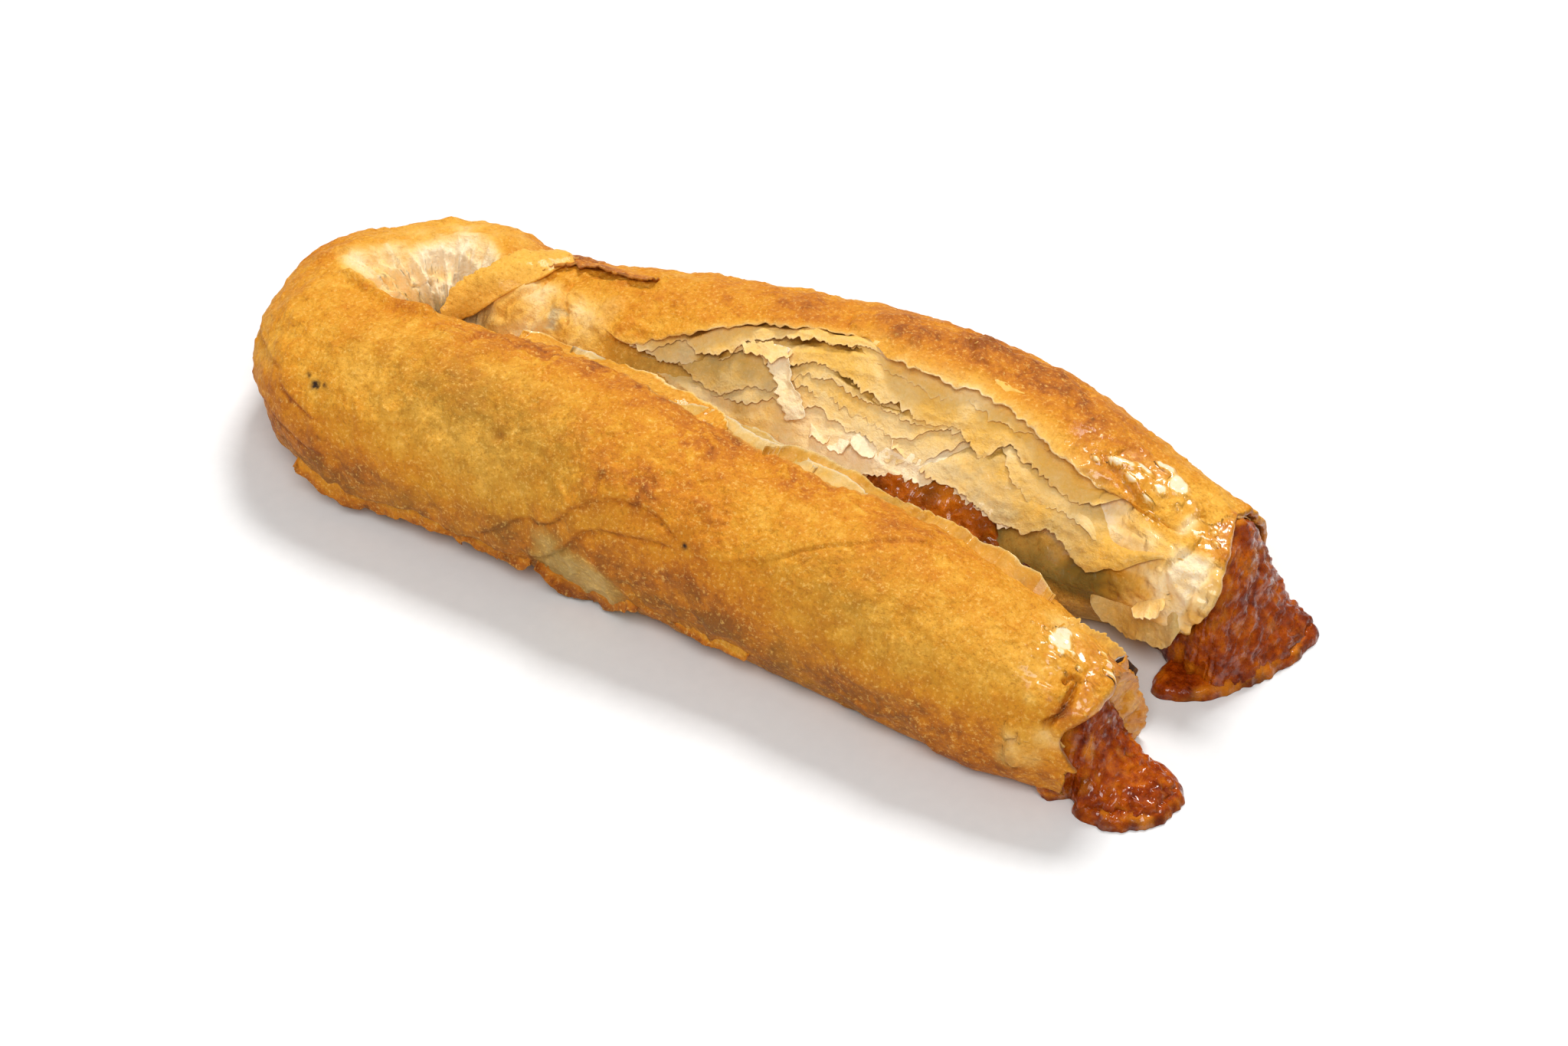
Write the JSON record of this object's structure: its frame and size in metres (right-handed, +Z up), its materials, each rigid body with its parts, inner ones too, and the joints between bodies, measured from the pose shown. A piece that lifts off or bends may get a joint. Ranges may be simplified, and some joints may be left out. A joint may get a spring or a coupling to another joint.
{
  "type": "baked filo roll bent into a hairpin",
  "caption": "Rolled flaky pastry bent double into a hairpin, browned outside, with fruit filling showing at both cut ends and through a burst side.",
  "frame": {"origin": "middle of the footprint of the whole, on the surface that it lies on", "axes": "+X along the two legs from the bend to the open ends, +Y from the near leg to the burst far leg, +Z up"},
  "size_m": [0.2314, 0.0946, 0.0394],
  "materials": {
    "crust": "baked dough, golden brown with paler, slightly translucent layers where it has burst, brushed with syrup near the ends",
    "fruit_filling": "thick cooked fruit jam, glossy orange brown, caramelised dark at its edges"
  },
  "bodies": {
    "root": {"dough_roll": "crust", "filling": "fruit_filling"}
  },
  "joints": []
}
